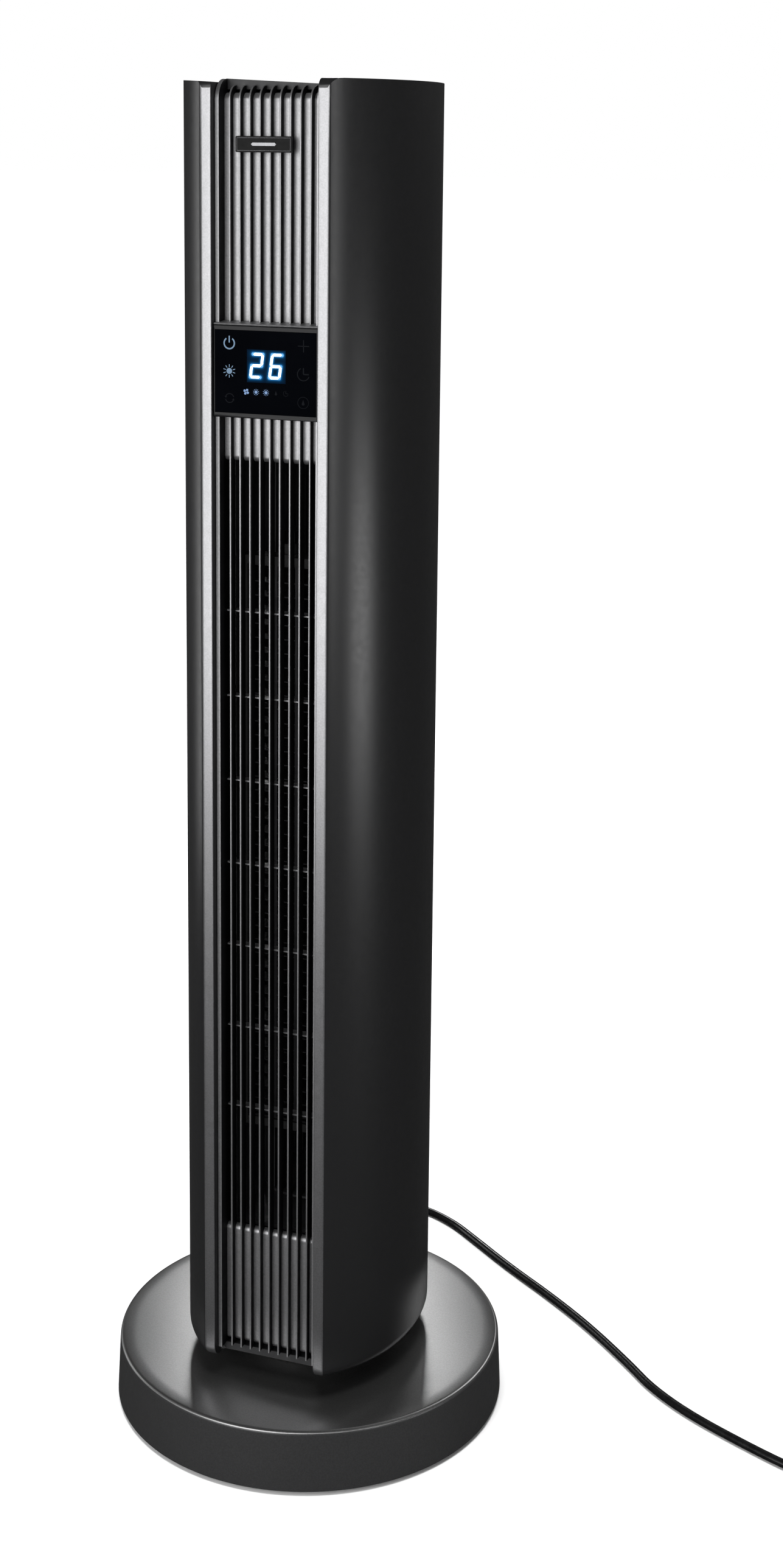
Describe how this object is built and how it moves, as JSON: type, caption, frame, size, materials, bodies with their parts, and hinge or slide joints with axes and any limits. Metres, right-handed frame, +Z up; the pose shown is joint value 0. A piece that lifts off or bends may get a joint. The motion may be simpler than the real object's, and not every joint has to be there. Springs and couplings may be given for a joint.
{
  "type": "tower fan",
  "caption": "Slim oscillating tower fan with ceramic heater: oval column, finned front outlet, touch display, round weighted base and mains lead.",
  "frame": {"origin": "centre of the round base, on the floor plane under the rubber feet", "axes": "+Z up along the column and its swivel axis, -Y towards the front outlet, +X to the viewer's right"},
  "size_m": [0.6437, 0.422, 0.966],
  "materials": {
    "casing_metallic": "satin anthracite",
    "grille_metallic": "satin anthracite metallic",
    "base_metallic": "satin anthracite metallic",
    "black_plastic": "fine matt moulding",
    "black_gloss": "gloss",
    "display_glass": "smoked gloss",
    "badge_metal": "dark polished",
    "filter_mesh": "woven mesh",
    "circuit_board": "satin lacquer",
    "board_parts": "mixed",
    "white_plastic": "natural moulding",
    "heat_plastic": "glass-filled",
    "galvanised_sheet": "zinc",
    "aluminium_fins": "dark anodised",
    "copper_windings": "enamelled",
    "bronze_bush": "sintered",
    "steel": "zinc plated",
    "cast_weight": "rough",
    "rubber": "matt",
    "cord_jacket": "semi-gloss",
    "tie_strap": "woven"
  },
  "bodies": {
    "base": {"base_cover": "base_metallic", "base_bottom_plate": "black_plastic", "rubber_feet": "rubber", "base_screws": "steel", "ballast_ring": "cast_weight", "swivel_bush": "white_plastic", "thrust_washer": "white_plastic", "oscillation_motor": "galvanised_sheet", "oscillation_motor_screws": "steel", "tilt_switch": "black_plastic", "cord_clamp": "black_plastic", "clamp_screws": "steel", "strain_relief": "rubber", "power_cord": "cord_jacket", "cord_coil": "cord_jacket", "cord_tail": "cord_jacket", "cord_tie": "tie_strap", "mains_plug": "cord_jacket"},
    "column": {"left_side_panel": "casing_metallic", "right_side_panel": "casing_metallic", "rear_cover": "black_plastic", "rear_cover_screws": "steel", "dust_filter": "filter_mesh", "top_cover": "black_plastic", "front_grille": "grille_metallic", "badge_plate": "badge_metal", "display_bezel": "black_gloss", "display_glass": "display_glass", "display_board": "circuit_board", "digit_module": "black_gloss", "touch_pads": "white_plastic", "lower_deck": "black_plastic", "upper_deck": "black_plastic", "deck_screws": "steel", "upper_bearing": "bronze_bush", "scroll_wall": "galvanised_sheet", "tongue_wall": "galvanised_sheet", "motor_can": "galvanised_sheet", "motor_cap": "galvanised_sheet", "motor_stator": "copper_windings", "motor_mounts": "rubber", "motor_screws": "steel", "heater_frame": "heat_plastic", "heater_core": "aluminium_fins", "thermal_cutout": "heat_plastic", "main_board": "circuit_board", "board_rails": "black_plastic", "board_components": "board_parts", "column_foot": "black_plastic", "foot_screws": "steel", "swivel_gear": "white_plastic", "gear_screws": "steel"},
    "blower": {"blower_wheel": "black_plastic", "wheel_shaft": "steel", "motor_rotor": "steel"},
    "pinion": {"drive_pinion": "white_plastic", "pinion_shaft": "steel"},
    "plunger": {"switch_plunger": "white_plastic"}
  },
  "joints": [
    {"name": "oscillation", "type": "hinge", "parent": "base", "child": "column", "pos_m": [0, 0, 0.04], "axis": [0, 0, 1], "range_deg": [-40, 40]},
    {"name": "pinion_turn", "type": "hinge", "parent": "base", "child": "pinion", "pos_m": [0.06, 0, 0.028], "axis": [0, 0, 1], "range_deg": [-165, 165]},
    {"name": "blower_spin", "type": "hinge", "parent": "column", "child": "blower", "pos_m": [0, 0.016, 0.43], "axis": [0, 0, 1], "continuous": true},
    {"name": "plunger_travel", "type": "slide", "parent": "base", "child": "plunger", "axis": [0, 0, 1], "range_m": [-0.003, 0], "stiffness_N_per_m": 60, "springref_m": -0.008}
  ],
  "couplings": [
    {"joint": "pinion_turn", "follows": "oscillation", "ratio": -4}
  ]
}
